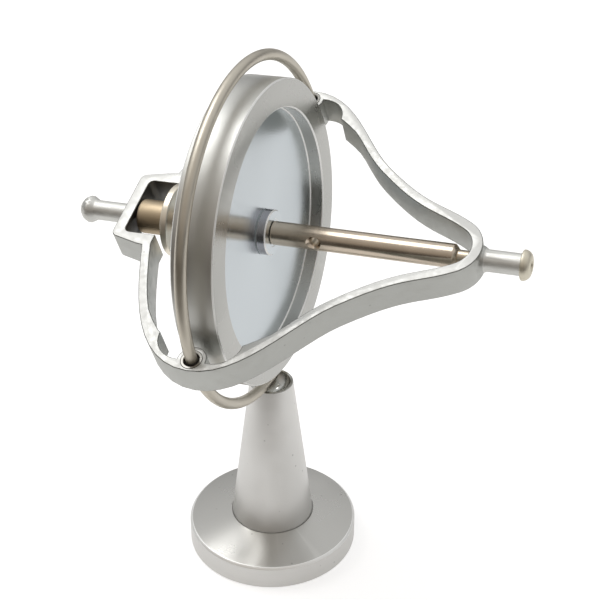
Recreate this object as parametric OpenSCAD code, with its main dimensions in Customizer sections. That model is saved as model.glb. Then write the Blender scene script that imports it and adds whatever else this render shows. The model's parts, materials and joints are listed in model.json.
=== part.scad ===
// Demonstration gyroscope resting by its ring in the cup of a small turned stand.
// Millimetres. Z is up, X follows the axle across the table, and the origin is
// the centre of the base's underside, on the stand's own axis.

/* [Stand] */
// Outside diameter of the round base
base_d = 38.6; // [36:0.2:42]
// Height of the base at its outer edge
base_edge_h = 5.8; // [5.2:0.1:7]
// Rise of the sloped top from the outer edge to the pedestal
base_rise = 1.9; // [1:0.1:2.4]
// Bevel round the base's upper edge
base_bevel = 0.45; // [0.2:0.05:0.8]
// Diameter of the pedestal at its foot
foot_d = 18.7; // [16:0.1:20]
// Depth of the shallow seat that the foot stands in
foot_seat = 0.4; // [0.2:0.05:0.8]
// Diameter of the pedestal at the rim of its cup
cup_d = 9.7; // [9:0.1:11]
// Height of the cup's rim above the table
stand_h = 43.7; // [40:0.1:50]
// Width of the flat land round the cup
cup_land = 0.6; // [0.5:0.05:0.8]
// Depth of the cup
cup_depth = 3.2; // [2.6:0.1:4]
// Diameter of the screw that holds the pedestal from below
screw_d = 4; // [3:0.1:5]
// Length of that screw
screw_l = 11; // [9:0.5:20]

/* [Ring] */
// Thickness of the ring's round rod
rod_d = 2.4; // [2:0.1:2.6]
// Space between the ring and the rotor that turns inside it
ring_gap = 3.1; // [2.6:0.1:5]
// Space left between the ring and the cup that it rests in
seat_gap = 0.25; // [0.2:0.01:0.35]

/* [Rotor] */
// Outside diameter of the rotor
rotor_d = 64; // [60:0.2:65]
// Width of the rotor's heavy rim
rim_w = 8.9; // [7:0.1:9.6]
// Diameter of the recess in each face
recess_d = 51.9; // [46:0.1:54]
// Thickness of the web inside the rim
web_t = 2.7; // [2:0.1:3.6]
// Bevel on the rotor's edges
rotor_bevel = 0.35; // [0.15:0.05:0.6]
// Space between the rotor's rim and the frame's bar
rim_gap = 0.7; // [0.4:0.1:1.5]
// Diameter of the hub collar
hub_d = 9.6; // [8.6:0.1:12]
// Height of the hub collar above the web
hub_h = 2.1; // [1.5:0.1:3]

/* [Axle] */
// Diameter of the axle
axle_d = 2.9; // [2.6:0.1:3.2]
// Diameter of the journals at both ends of the axle
journal_d = 2; // [1.6:0.1:2.2]
// Length of each journal
journal_l = 4; // [3:0.1:4.4]
// Running clearance of a journal in its bearing, on the radius
run_clear = 0.04; // [0.02:0.01:0.08]
// Outside diameter of the sleeve that the string winds on
sleeve_d = 5; // [4.4:0.1:6]
// Bare axle between the sleeve and the frame's nose
sleeve_back = 2.3; // [1.6:0.1:4]
// Chamfer on the sleeve's free end
sleeve_bevel = 0.8; // [0.4:0.1:0.9]
// Diameter of the cross hole for the string
string_d = 2; // [1.4:0.1:2.2]
// Distance of the string hole from the rotor's middle
string_x = 13.1; // [9:0.1:30]
// Turn of the string hole about the axle as the rotor stands, in degrees
string_turn = 68; // [0:1:180]
// Diameter of the spool at the square end
spool_d = 7.3; // [6:0.1:9]
// Length of the spool
spool_l = 7.7; // [6:0.1:8.5]
// Diameter of the flange beside the spool
flange_d = 15.6; // [12:0.1:16]
// Thickness of the flange
flange_t = 1.6; // [1.2:0.1:2]
// End play between the spool and the frame
end_play = 0.5; // [0.35:0.05:0.8]

/* [Frame] */
// Height of the cast frame's bar
frame_h = 6.6; // [6:0.1:7.4]
// Reach of the rounded nose from the rotor's middle
nose_x = 48.2; // [46:0.1:54]
// Radius of the rounded nose
nose_r = 7.5; // [7:0.1:8]
// Place along the axle where the bell turns from bulging to hollow
waist_x = 23.6; // [22.5:0.1:25]
// Half width of the frame at that place
waist_y = 18.8; // [18:0.1:20]
// Slope of the bar at that place, in degrees
waist_slope = 139.5; // [136:0.5:143]
// Reach of the square end from the rotor's middle
box_x = 29.8; // [29.2:0.1:33]
// Half width of the square end
box_y = 8.9; // [8.6:0.1:9.3]
// Length of the square end before it flares into the arms
square_l = 11; // [9:0.5:13]
// Radius on the square end's outer corners
corner_r = 1.5; // [0.8:0.1:2.5]
// Radius on the square end's inner corners
inner_r = 1.2; // [0.4:0.1:2]
// Thickness of the square end's end wall
box_wall = 2.5; // [2:0.1:2.8]
// Thickness of the square end's side walls
box_side = 1.6; // [1.3:0.1:1.8]
// Thickness of the arms
arm_wall = 1.9; // [1.6:0.1:2.2]
// Extra thickness at the rounded nose
nose_extra = 0.3; // [0:0.05:0.8]
// Half length of the swelling towards the ring's eyelets
swell_x = 15.5; // [14:0.5:17]
// Radius of the relief pockets beside each eyelet
pocket_r = 5.3; // [5:0.1:5.5]
// Half distance between the two rounded ends of a pocket
pocket_x = 3.5; // [3.2:0.1:4]
// Metal left outside a pocket
pocket_wall = 2.4; // [2.2:0.1:2.7]
// Metal outside the ring's rod at the crown, from the rod's middle
crown_wall = 2.6; // [2.5:0.1:3]
// Radius of the round boss at each eyelet
boss_r = 3; // [2.8:0.1:3.2]
// Wall of the thin bush that lines each eyelet
bush_wall = 0.55; // [0.4:0.05:0.6]
// Space between the ring's rod and its bush
bush_clear = 0.35; // [0.3:0.05:0.4]

/* [Posts] */
// Diameter of the post outside the square end
left_post_d = 4.3; // [4.1:0.1:5]
// Diameter of the post outside the nose
right_post_d = 4.5; // [4.3:0.1:5]
// Length of the post outside the nose
right_post_l = 7.8; // [7:0.1:12]
// Diameter of the rounded knob on the left post
knob_d = 5.8; // [5.2:0.1:7]
// Length of the rounded knob
knob_l = 3.6; // [3:0.1:5]
// Fillet where the right post leaves the nose
post_fillet = 0.9; // [0.4:0.1:1.2]
// Plain length of the left post between the frame and the knob
left_post_l = 7.8; // [7:0.1:12]
// Diameter of the head on the right tip pin
head_d = 6.2; // [5.6:0.1:7]
// Length of that head
head_l = 1.9; // [1.6:0.1:2.6]
// Diameter of the tip pin's shank
shank_d = 2.4; // [2:0.1:2.8]
// Outside diameter of the bearings
bearing_d = 3.4; // [3.2:0.1:3.6]

/* [Rest pose] */
// Tilt of the axle above level, in degrees
pitch = 4; // [0:0.5:8]
// Roll of the frame about the axle, in degrees
roll = 21.3; // [0:0.1:45]

/* [Hidden] */
round_n = 96;
small_n = 48;
curve_n = 12;
// the carrying ring goes round the rotor, and the frame's eyelets follow the ring
ring_r = rotor_d / 2 + ring_gap + rod_d / 2;
cup_r = cup_d / 2 - cup_land;
foot_z = base_edge_h + base_rise;
seat_z = foot_z - foot_seat;
foot_clear = 0.15;
table_bevel = 0.3;
screw_head_d = 2 * screw_d;
screw_sink = 0.3;
screw_tap = 1.5;
slot_w = screw_d / 4;
slot_depth = 1;
// how far a cut runs past the face that it opens
past = 1;

// the ring's rod lies across the cup, so it dips between the two contacts
rod_dip = ring_r - sqrt(ring_r * ring_r - cup_r * cup_r);
rest_z = stand_h + seat_gap + rod_d / 2 - rod_dip;
centre = [-ring_r * sin(pitch), 0, rest_z + ring_r * cos(pitch)];

hub_x = web_t / 2 + hub_h;
hub_lip = 0.9;
hub_bevel = 0.25;
hub_barrel_d = hub_d - 2 * hub_lip;
turned_bevel = 0.15;
flange_bevel = 0.2;
spool_round = 0.5;
tip_bevel = 0.3;
nose_wall = arm_wall + nose_extra;
nose_in_x = nose_x - nose_wall;
box_in_x = box_x - box_wall;
shoulder_gap = 0.1;
axle_gap = end_play + shoulder_gap;
sleeve_x0 = hub_x;
sleeve_x1 = nose_in_x - axle_gap - sleeve_back;
spool_x0 = -box_in_x + end_play;
spool_x1 = spool_x0 + spool_l;
flange_x1 = spool_x1 + flange_t;
left_shoulder = spool_x0;
right_shoulder = nose_in_x - axle_gap;
bearing_over = 0.4;
bearing_l = journal_l + bearing_over;
pin_gap = 0.3;
// share of the post's fillet that is left where it meets the front of the nose
fillet_share = 0.6;
post_end_x = nose_x + right_post_l;
crown_y = ring_r + crown_wall;
crown_in_y = rotor_d / 2 + rim_gap;
swell = crown_y - crown_in_y - arm_wall;
eyelet_r = rod_d / 2 + bush_clear;
// the rod bends away from the bush's axis, so the bush stands halfway
eyelet_y = ring_r - frame_h * frame_h / (16 * ring_r);

function turn(a) = [cos(a), sin(a)];

// points of a cubic curve after its first point
function curve(a, b, c, d) = [
    for (i = [1:curve_n])
        let (t = i / curve_n, s = 1 - t)
        s * s * s * a + 3 * s * s * t * b + 3 * s * t * t * c + t * t * t * d
];

function arc(c, r, from, to) = [
    for (i = [0:curve_n]) c + r * turn(from + (to - from) * i / curve_n)
];

// half outline of the bell, from the nose round the eyelet to the square end
nose_turn = 59;
nose_c = [nose_x - nose_r, 0];
nose_end = nose_c + nose_r * turn(nose_turn);
quarter_turn = 90;
nose_slope = nose_turn + quarter_turn;
waist = [waist_x, waist_y];
crown = [0, crown_y];
crown_slope = 180;
root_back = 8;
root_out = 1.4;
root = [-box_x + root_back, box_y + root_out];
root_slope = 252;
// how far each curve holds the direction that it leaves or reaches a point with
nose_hold = 8.5;
waist_hold_nose = 15.2;
waist_hold_crown = 9.3;
crown_hold_nose = 10.7;
crown_hold_box = 11.7;
root_hold = 14.5;
// a curve between two points that leaves one at a slope and reaches the other at another
function bend(a, slope_a, hold_a, b, slope_b, hold_b) =
    curve(a, a + hold_a * turn(slope_a), b - hold_b * turn(slope_b), b);
bell = concat(
    arc(nose_c, nose_r, 0, nose_turn),
    bend(nose_end, nose_slope, nose_hold, waist, waist_slope, waist_hold_nose),
    bend(waist, waist_slope, waist_hold_crown, crown, crown_slope, crown_hold_nose),
    bend(crown, crown_slope, crown_hold_box, root, root_slope, root_hold)
);
bell_last = len(bell) - 1;

// thickness of the bar, heavier at the nose and beside the eyelets
function bar_wall(x) = arm_wall
    + nose_extra * min(1, max(0, (x - waist_x) / (nose_c[0] - waist_x)))
    + swell * max(0, 1 - abs(x) / swell_x);

function along(i) = bell[min(i + 1, bell_last)] - bell[max(i - 1, 0)];

function inward(i) = [-along(i)[1], along(i)[0]] / norm(along(i));

bell_in = [for (i = [0:bell_last]) bell[i] + bar_wall(bell[i][0]) * (i == 0 ? [-1, 0] : inward(i))];

// the square end flares out a little behind its corner before the arm begins
corner_c = [-box_x + corner_r, box_y - corner_r];
corner_from = 100;
elbow_back = 1.6;
elbow_in = 0.2;
elbow = root - [elbow_back, elbow_in];
square_end = concat(
    [elbow],
    arc(corner_c, corner_r, corner_from, 180)
);

// half outline of the opening in the square end
box_in_y = box_y - box_side;
square_in = concat(
    [[square_l - box_x, box_in_y]],
    arc([inner_r - box_in_x, box_in_y - inner_r], inner_r, quarter_turn, 2 * quarter_turn)
);

function mirrored(p) = [for (i = [len(p) - 1:-1:0]) [p[i][0], -p[i][1]]];

module frame_outline() {
    half = concat(bell, square_end);
    polygon(concat(half, mirrored(half)));
}

module frame_window() {
    polygon(concat(bell_in, mirrored(bell_in)));
    polygon(concat(square_in, mirrored(square_in)));
    for (side = [-1, 1])
        for (end = [-1, 1])
            translate([end * pocket_x, side * (crown_y - pocket_wall - pocket_r)])
                circle(r = pocket_r, $fn = small_n);
    for (side = [-1, 1])
        translate([-pocket_x, side * (crown_y - pocket_wall - pocket_r / 2) - pocket_r / 2])
            square([2 * pocket_x, pocket_r]);
}

module frame_plan() {
    difference() {
        intersection() {
            frame_outline();
            union() {
                difference() {
                    frame_outline();
                    frame_window();
                }
                for (side = [-1, 1])
                    translate([0, side * eyelet_y])
                        circle(r = boss_r, $fn = small_n);
            }
        }
        for (side = [-1, 1])
            translate([0, side * eyelet_y])
                circle(r = eyelet_r + bush_wall, $fn = small_n);
    }
}

// a solid turned about the axle, from a profile of distance along it and radius
module turned(profile, n = round_n) {
    rotate([0, 90, 0])
        rotate_extrude($fn = n)
            polygon([for (p = profile) [p[1], p[0]]]);
}

module rod_x(x0, x1, d) {
    translate([x0, 0, 0])
        rotate([0, 90, 0])
            cylinder(h = x1 - x0, d = d, $fn = small_n);
}

// the gyroscope is drawn level about the rotor's middle, then set in the cup
module in_cup() {
    translate(centre)
        rotate([roll, -pitch, 0])
            children();
}

module base_disc() {
    r = base_d / 2;
    color([0.75, 0.75, 0.74])
        difference() {
            rotate_extrude($fn = round_n)
                polygon([
                    [0, 0], [r - table_bevel, 0], [r, table_bevel],
                    [r, base_edge_h - base_bevel],
                    [r - base_bevel, base_edge_h],
                    [foot_d / 2 + foot_clear, foot_z], [foot_d / 2 + foot_clear, seat_z],
                    [0, seat_z]
                ]);
            translate([0, 0, -past])
                cylinder(h = foot_z + 2 * past, d = screw_d + 2 * foot_clear, $fn = small_n);
            translate([0, 0, -past])
                cylinder(h = screw_sink + past, d = screw_head_d + 2 * foot_clear, $fn = small_n);
            translate([0, 0, screw_sink])
                cylinder(
                    h = screw_d / 2,
                    d1 = screw_head_d + 2 * foot_clear,
                    d2 = screw_d + 2 * foot_clear,
                    $fn = small_n
                );
        }
}

module pedestal() {
    bowl_r = (cup_r * cup_r + cup_depth * cup_depth) / (2 * cup_depth);
    color([0.78, 0.78, 0.77])
        difference() {
            translate([0, 0, seat_z])
                cylinder(h = stand_h - seat_z, d1 = foot_d, d2 = cup_d, $fn = round_n);
            translate([0, 0, stand_h - cup_depth + bowl_r])
                sphere(r = bowl_r, $fn = round_n);
            translate([0, 0, seat_z - past])
                cylinder(h = screw_l + screw_tap + past - seat_z, d = screw_d, $fn = small_n);
        }
}

module pedestal_screw() {
    color([0.6, 0.6, 0.62])
        difference() {
            union() {
                translate([0, 0, screw_sink])
                    cylinder(h = screw_d / 2, d1 = screw_head_d, d2 = screw_d, $fn = small_n);
                translate([0, 0, screw_sink])
                    cylinder(h = screw_l - screw_sink, d = screw_d, $fn = small_n);
            }
            translate([-screw_head_d, -slot_w / 2, screw_sink - past])
                cube([2 * screw_head_d, slot_w, slot_depth + past]);
        }
}

// the rounded knob, given as shares of its length and radius from the post outwards
module knob(x) {
    r = knob_d / 2;
    shape = [[0.4, 1], [0.55, 1], [0.8, 0.84], [1, 0.56], [1, 0]];
    turned(concat(
        [[-x, 0], [-x, left_post_d / 2]],
        [for (p = shape) [-x - p[0] * knob_l, p[1] * r]]
    ), small_n);
}

module frame_casting() {
    knob_x = box_x + left_post_l;
    color([0.83, 0.83, 0.82])
        in_cup() difference() {
            union() {
                translate([0, 0, -frame_h / 2])
                    linear_extrude(frame_h)
                        frame_plan();
                rod_x(-knob_x - knob_l / 2, -box_in_x - box_wall / 2, left_post_d);
                knob(knob_x);
                rod_x(nose_x - nose_wall / 2, post_end_x, right_post_d);
                turned([
                    [nose_x - nose_wall / 2, 0],
                    [nose_x - nose_wall / 2, right_post_d / 2 + post_fillet],
                    [nose_x, right_post_d / 2 + fillet_share * post_fillet],
                    [nose_x + post_fillet, right_post_d / 2], [nose_x + post_fillet, 0]
                ], small_n);
            }
            rod_x(-box_in_x - bearing_l, -box_in_x + past, bearing_d);
            rod_x(nose_in_x - past, nose_in_x + bearing_l, bearing_d);
            rod_x(nose_in_x, post_end_x + past, shank_d);
        }
}

module ring() {
    color([0.62, 0.59, 0.53])
        in_cup()
            rotate([0, 90, 0])
                rotate_extrude($fn = round_n)
                    translate([ring_r, 0])
                        circle(d = rod_d, $fn = small_n / 2);
}

module eyelet_bush(side) {
    color([0.88, 0.87, 0.84])
        in_cup()
            translate([0, side * eyelet_y, -frame_h / 2])
                difference() {
                    cylinder(h = frame_h, r = eyelet_r + bush_wall, $fn = small_n);
                    translate([0, 0, -past])
                        cylinder(h = frame_h + 2 * past, r = eyelet_r, $fn = small_n);
                }
}

module bearing(from, to) {
    color([0.78, 0.62, 0.36])
        in_cup()
            difference() {
                rod_x(from, to, bearing_d);
                rod_x(from - past, to + past, journal_d + 2 * run_clear);
            }
}

module tip_pin() {
    r = head_d / 2;
    from = nose_in_x + bearing_l + pin_gap;
    // the domed head, as shares of its length and radius, ends in a shallow dimple
    head = [
        [0, 0.95], [0.08, 1], [0.3, 1], [0.55, 0.94], [0.75, 0.85],
        [0.9, 0.73], [1, 0.54], [1, 0.36], [0.4, 0]
    ];
    color([0.8, 0.78, 0.68])
        in_cup()
            turned(concat(
                [[from, 0], [from, shank_d / 2], [post_end_x, shank_d / 2]],
                [for (p = head) [post_end_x + p[0] * head_l, p[1] * r]]
            ), small_n);
}

module rotor_disc() {
    r = rotor_d / 2;
    w = rim_w / 2;
    t = web_t / 2;
    b = rotor_bevel;
    in_r = recess_d / 2;
    color([0.72, 0.72, 0.71])
        in_cup()
            turned([
                [-w, in_r + b], [-w, r - b], [-w + b, r], [w - b, r], [w, r - b], [w, in_r + b],
                [w - b, in_r], [t, in_r], [t, hub_barrel_d / 2], [-t, hub_barrel_d / 2],
                [-t, in_r], [-w + b, in_r]
            ]);
}

module hub_bush() {
    color([0.6, 0.6, 0.63])
        in_cup()
            turned([
                [-web_t / 2, axle_d / 2], [-web_t / 2, hub_barrel_d / 2],
                [web_t / 2, hub_barrel_d / 2], [web_t / 2, hub_d / 2],
                [hub_x - hub_bevel, hub_d / 2], [hub_x, hub_d / 2 - hub_bevel],
                [hub_x, axle_d / 2]
            ]);
}

module string_hole(length) {
    translate([string_x, 0, 0])
        rotate([string_turn, 0, 0])
            cylinder(h = length, d = string_d, center = true, $fn = small_n);
}

module axle() {
    j = journal_d / 2;
    a = axle_d / 2;
    left_tip = left_shoulder - journal_l;
    right_tip = right_shoulder + journal_l;
    color([0.55, 0.5, 0.43])
        in_cup()
            difference() {
                turned([
                    [left_tip, 0], [left_tip, j - tip_bevel], [left_tip + tip_bevel, j],
                    [left_shoulder, j], [left_shoulder, a],
                    [right_shoulder, a], [right_shoulder, j],
                    [right_tip - tip_bevel, j], [right_tip, j - tip_bevel], [right_tip, 0]
                ], small_n);
                string_hole(2 * axle_d);
            }
}

module winding_sleeve() {
    r = sleeve_d / 2;
    color([0.55, 0.51, 0.44])
        in_cup()
            difference() {
                turned([
                    [sleeve_x0, axle_d / 2], [sleeve_x0, r - turned_bevel],
                    [sleeve_x0 + turned_bevel, r],
                    [sleeve_x1 - sleeve_bevel, r], [sleeve_x1, r - sleeve_bevel],
                    [sleeve_x1, axle_d / 2]
                ], small_n);
                string_hole(2 * sleeve_d);
            }
}

module spool() {
    r = spool_d / 2;
    color([0.77, 0.68, 0.55])
        in_cup()
            turned([
                [spool_x0, axle_d / 2], [spool_x0, r - spool_round],
                [spool_x0 + turned_bevel, r - turned_bevel], [spool_x0 + spool_round, r],
                [spool_x1, r], [spool_x1, axle_d / 2]
            ]);
}

module flange() {
    r = flange_d / 2;
    color([0.8, 0.72, 0.6])
        in_cup()
            turned([
                [spool_x1, axle_d / 2], [spool_x1, r - flange_bevel],
                [spool_x1 + flange_bevel, r], [flange_x1 - flange_bevel, r],
                [flange_x1, r - flange_bevel], [flange_x1, axle_d / 2]
            ]);
}

module left_spacer() {
    color([0.6, 0.56, 0.5])
        in_cup()
            difference() {
                rod_x(flange_x1, -web_t / 2, sleeve_d);
                rod_x(flange_x1 - past, -web_t / 2 + past, axle_d);
            }
}

base_disc();
pedestal();
pedestal_screw();
frame_casting();
ring();
eyelet_bush(-1);  // eyelet_bush_front
eyelet_bush(1);  // eyelet_bush_back
bearing(-box_in_x - bearing_l, -box_in_x);  // left_bearing
bearing(nose_in_x, nose_in_x + bearing_l);  // right_bearing
tip_pin();
rotor_disc();
hub_bush();
axle();
winding_sleeve();
spool();
flange();
left_spacer();
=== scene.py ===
"""Dresses the gyroscope on its stand: turned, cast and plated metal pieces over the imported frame."""
import json
import math

import bpy
from mathutils import Euler, Matrix, Vector


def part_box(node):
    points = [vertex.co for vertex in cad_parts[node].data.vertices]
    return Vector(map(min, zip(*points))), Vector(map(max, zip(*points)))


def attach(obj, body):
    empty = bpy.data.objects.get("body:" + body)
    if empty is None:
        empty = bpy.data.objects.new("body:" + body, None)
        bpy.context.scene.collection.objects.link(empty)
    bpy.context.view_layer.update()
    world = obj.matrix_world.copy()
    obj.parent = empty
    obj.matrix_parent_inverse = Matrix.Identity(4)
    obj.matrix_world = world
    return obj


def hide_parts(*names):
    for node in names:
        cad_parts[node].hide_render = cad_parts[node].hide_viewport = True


bl_info = {
    "name": "Gyroscope on stand",
    "version": (1, 0, 0),
    "blender": (4, 5, 0),
    "location": "3D View > Sidebar > Gyroscope",
    "description": "Builds the finished metal pieces of a classroom gyroscope and its stand",
    "category": "Object",
}

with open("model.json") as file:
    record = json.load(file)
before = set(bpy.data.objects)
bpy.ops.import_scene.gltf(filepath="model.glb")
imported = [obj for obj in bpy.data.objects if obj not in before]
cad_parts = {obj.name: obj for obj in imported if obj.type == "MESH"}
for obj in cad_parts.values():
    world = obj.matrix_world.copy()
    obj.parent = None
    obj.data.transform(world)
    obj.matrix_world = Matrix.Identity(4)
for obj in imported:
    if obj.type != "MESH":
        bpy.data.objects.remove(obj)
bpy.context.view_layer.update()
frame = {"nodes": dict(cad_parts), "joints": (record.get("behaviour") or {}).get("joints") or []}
MM = 0.001
JOINTS = {joint["name"]: joint for joint in frame["joints"]}
AXLE = Vector(JOINTS["rotor_spin"]["axis"])
CENTRE = Vector(JOINTS["rotor_spin"]["pos_m"])
PITCH = math.asin(AXLE.z)
BASE_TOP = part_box("base_disc")[1]
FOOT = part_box("pedestal")
RIM_Z = FOOT[1].z


# ---------------------------------------------------------------- sizes and colours

class StandSizes(bpy.types.PropertyGroup):
    base_edge_h: bpy.props.FloatProperty(
        name="Edge height", description="Height of the base at its outer edge",
        default=5.8 * MM, unit="LENGTH")
    base_bevel: bpy.props.FloatProperty(
        name="Edge bevel", description="Bevel round the base's upper edge",
        default=0.45 * MM, unit="LENGTH")
    cup_d: bpy.props.FloatProperty(
        name="Rim diameter", description="Outside diameter of the cup's rim",
        default=9.7 * MM, unit="LENGTH")
    cup_land: bpy.props.FloatProperty(
        name="Rim land", description="Width of the flat land round the cup",
        default=0.6 * MM, unit="LENGTH")
    cup_depth: bpy.props.FloatProperty(
        name="Cup depth", description="Depth of the bowl in the top of the cone",
        default=3.2 * MM, unit="LENGTH")
    screw_d: bpy.props.FloatProperty(
        name="Screw hole", description="Diameter of the hole for the screw from below",
        default=4.3 * MM, unit="LENGTH")
    sink_d: bpy.props.FloatProperty(
        name="Screw sink", description="Diameter of the sink for the screw's head",
        default=8.3 * MM, unit="LENGTH")


class GyroSizes(bpy.types.PropertyGroup):
    roll: bpy.props.FloatProperty(
        name="Roll", description="Roll of the frame about the axle",
        default=math.radians(21.3), unit="ROTATION")
    ring_d: bpy.props.FloatProperty(
        name="Ring", description="Outside diameter of the carrying ring",
        default=75 * MM, unit="LENGTH")
    rod_d: bpy.props.FloatProperty(
        name="Rod", description="Thickness of the ring's rod", default=2.4 * MM, unit="LENGTH")
    frame_h: bpy.props.FloatProperty(
        name="Frame bar", description="Height of the cast frame's bar",
        default=6.6 * MM, unit="LENGTH")
    cast_bevel: bpy.props.FloatProperty(
        name="Cast edge", description="Rounding on the cast frame's edges",
        default=0.16 * MM, unit="LENGTH")
    eyelet_y: bpy.props.FloatProperty(
        name="Eyelet", description="Distance of each eyelet from the axle",
        default=36.225 * MM, unit="LENGTH")
    eyelet_r: bpy.props.FloatProperty(
        name="Eyelet bore", description="Bore radius of the thin bush in each eyelet",
        default=1.55 * MM, unit="LENGTH")
    bush_wall: bpy.props.FloatProperty(
        name="Bush wall", description="Wall of that bush", default=0.55 * MM, unit="LENGTH")
    post_l: bpy.props.FloatProperty(
        name="Post length", description="Length of the turned right post",
        default=7.2 * MM, unit="LENGTH")
    post_end: bpy.props.FloatProperty(
        name="Post end", description="Reach of the right post from the rotor's middle",
        default=56 * MM, unit="LENGTH")
    box_end: bpy.props.FloatProperty(
        name="Square end", description="Reach of the square end from the rotor's middle",
        default=-29.9 * MM, unit="LENGTH")
    box_in: bpy.props.FloatProperty(
        name="Inside", description="Inner face of the end wall from the rotor's middle",
        default=-27.5 * MM, unit="LENGTH")
    box_half: bpy.props.FloatProperty(
        name="Inside half width", description="Half width inside the square end",
        default=7.5 * MM, unit="LENGTH")
    arms: bpy.props.FloatProperty(
        name="Arms", description="Where the arms leave the square end, from the rotor's middle",
        default=-19.5 * MM, unit="LENGTH")
    head_d: bpy.props.FloatProperty(
        name="Pin head", description="Diameter of the head on the right tip pin",
        default=6.2 * MM, unit="LENGTH")
    head_l: bpy.props.FloatProperty(
        name="Head length", description="Length of that head", default=1.9 * MM, unit="LENGTH")


class RotorSizes(bpy.types.PropertyGroup):
    rotor_d: bpy.props.FloatProperty(
        name="Rotor", description="Outside diameter of the rotor",
        default=64 * MM, unit="LENGTH")
    rim_w: bpy.props.FloatProperty(
        name="Rim", description="Width of the rotor's rim", default=8.9 * MM, unit="LENGTH")
    recess_d: bpy.props.FloatProperty(
        name="Recess", description="Diameter of the recess in each face",
        default=51.9 * MM, unit="LENGTH")
    web_t: bpy.props.FloatProperty(
        name="Web", description="Thickness of the web inside the rim",
        default=2.7 * MM, unit="LENGTH")
    bevel: bpy.props.FloatProperty(
        name="Edge bevel", description="Bevel on the rotor's edges",
        default=0.27 * MM, unit="LENGTH")
    corner: bpy.props.FloatProperty(
        name="Recess corner", description="Bevel in the corner between the web and the rim",
        default=0.22 * MM, unit="LENGTH")
    hub_d: bpy.props.FloatProperty(
        name="Hub", description="Diameter of the hub collar", default=9.6 * MM, unit="LENGTH")
    hub_h: bpy.props.FloatProperty(
        name="Hub height", description="Height of the hub collar above the web",
        default=2.1 * MM, unit="LENGTH")
    hub_lip: bpy.props.FloatProperty(
        name="Hub lip", description="Width of the collar's lip over the web",
        default=0.9 * MM, unit="LENGTH")
    axle_d: bpy.props.FloatProperty(
        name="Axle", description="Diameter of the axle", default=2.9 * MM, unit="LENGTH")
    sleeve_d: bpy.props.FloatProperty(
        name="Sleeve", description="Diameter of the sleeve that the string winds on",
        default=5 * MM, unit="LENGTH")
    sleeve_end: bpy.props.FloatProperty(
        name="Sleeve end", description="Reach of the sleeve from the rotor's middle",
        default=43.1 * MM, unit="LENGTH")
    sleeve_bevel: bpy.props.FloatProperty(
        name="Sleeve chamfer", description="Chamfer on the sleeve's free end",
        default=0.8 * MM, unit="LENGTH")
    string_x: bpy.props.FloatProperty(
        name="String hole", description="Distance of the string hole from the rotor's middle",
        default=13.1 * MM, unit="LENGTH")
    string_d: bpy.props.FloatProperty(
        name="Hole diameter", description="Diameter of the string hole",
        default=2 * MM, unit="LENGTH")
    string_turn: bpy.props.FloatProperty(
        name="Hole turn", description="Turn of the string hole about the axle",
        default=math.radians(68), unit="ROTATION")
    spool_x: bpy.props.FloatProperty(
        name="Spool start", description="Left end of the spool from the rotor's middle",
        default=-26.8 * MM, unit="LENGTH")
    spool_d: bpy.props.FloatProperty(
        name="Spool", description="Diameter of the spool", default=7.3 * MM, unit="LENGTH")
    spool_l: bpy.props.FloatProperty(
        name="Spool length", description="Length of the spool",
        default=7.7 * MM, unit="LENGTH")
    flange_d: bpy.props.FloatProperty(
        name="Flange", description="Diameter of the flange", default=15.6 * MM, unit="LENGTH")
    flange_t: bpy.props.FloatProperty(
        name="Flange thickness", description="Thickness of the flange",
        default=1.6 * MM, unit="LENGTH")


COLOURS = {
    "turned": ("Turned aluminium", "Satin turned aluminium of the stand", "#dfdedb"),
    "faced": ("Faced top", "Faced top of the base", "#c4c3bf"),
    # cup: the bowl's colour is painted darker, painted shade inside the cup
    "cup": ("Cup", "Burnished bowl of the cup", "#bcbcb8"),
    "cast": ("Cast metal", "As-cast walls of the frame", "#bfc0bc"),
    # lip: painted dark, painted shade along the frame's rounded edges
    "lip": ("Cast edges", "Rounded edges of the frame, dark with handling", "#888985"),
    "ground": ("Ground faces", "Flat faces of the frame, ground bright", "#cdcdca"),
    # inside: painted dark, painted shade on the walls inside the square end
    "inside": ("Inside", "Dark oily walls inside the square end", "#666562"),
    "post": ("Posts", "The frame's own metal where its posts are turned bright", "#dcdcd8"),
    "ring": ("Ring", "Warm nickel plate on the ring", "#cbc5b8"),
    "rotor": ("Rotor", "Turned steel of the rotor", "#bdbdb9"),
    "rim": ("Rim", "Turned steel round the rotor's rim", "#cfcfcb"),
    # edge: near white, painted highlights on the turned bevels
    "edge": ("Turned edges", "Steel of freshly turned edges", "#f6f6f4"),
    "web": ("Web", "Polished web inside the rim", "#cad1d5"),
    "hub": ("Hub", "Steel of the hub collar", "#a9a8ac"),
    "axle": ("Axle", "Warm nickel plate on the axle and its sleeve", "#cec1b0"),
    "bare": ("Bare axle", "Steel of the axle, ground bright", "#cdc1ae"),
    "champagne": ("Spool", "Champagne plate on the spool", "#b9a88e"),
    "flange": ("Flange", "Pale plate on the flange", "#f3ebdb"),
    "pin": ("Tip pin", "Yellowish metal of the tip pin", "#dfd9c8"),
    # bush: painted dark, painted shade of the gap round each bush
    "bush": ("Eyelet bush", "Steel of the thin bush in each eyelet", "#8a8883"),
    "bronze": ("Bearings", "Sintered bronze of the two bearings", "#b08a55"),
    "zinc": ("Screw", "Zinc plate on the screw under the base", "#a9abb0"),
}


class MetalColours(bpy.types.PropertyGroup):
    pass


def channel(value):
    return value / 12.92 if value <= 0.04045 else ((value + 0.055) / 1.055) ** 2.4


def linear(hex_colour):
    """An sRGB hex colour as linear red, green, blue and alpha."""
    parts = [int(hex_colour[i:i + 2], 16) / 255 for i in (1, 3, 5)]
    return tuple(channel(part) for part in parts) + (1.0,)


for key, (label, words, hex_colour) in COLOURS.items():
    MetalColours.__annotations__[key] = bpy.props.FloatVectorProperty(
        name=label, description=words, subtype="COLOR", size=4, min=0, max=1,
        default=linear(hex_colour))


def sizes(group):
    return getattr(bpy.context.scene, group)


# ---------------------------------------------------------------- materials

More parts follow.
